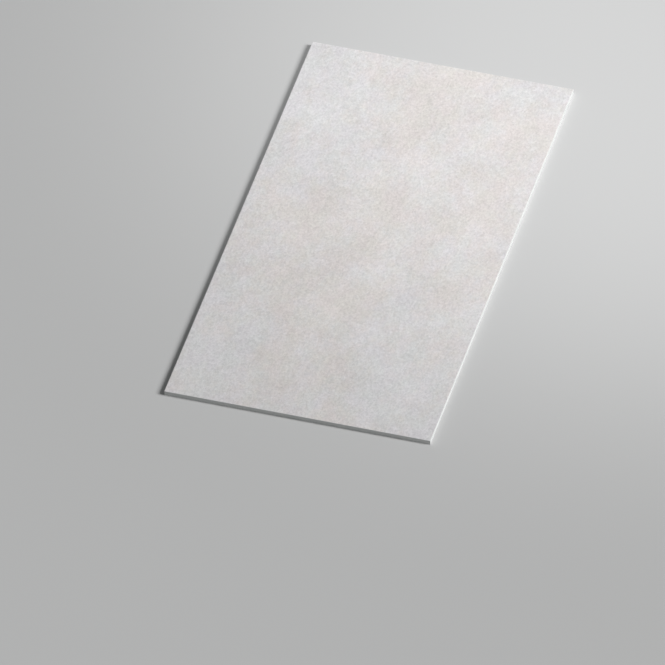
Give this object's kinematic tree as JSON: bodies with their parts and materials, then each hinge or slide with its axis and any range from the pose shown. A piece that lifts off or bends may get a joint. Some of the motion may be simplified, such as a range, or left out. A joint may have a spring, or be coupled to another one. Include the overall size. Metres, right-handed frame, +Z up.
{
  "type": "fiber cement board",
  "caption": "Flat, square-cut fibre cement sheet with sanded face and eased arrises, for lining, flooring and cladding.",
  "frame": {"origin": "middle of the underside, on the surface that the sheet lies on", "axes": "+X across the sheet, +Y along its length, +Z up, out of the sanded face"},
  "size_m": [1.22, 2.44, 0.022],
  "materials": {
    "fibre_cement": "matte"
  },
  "bodies": {
    "root": {"board": "fibre_cement"}
  },
  "joints": []
}
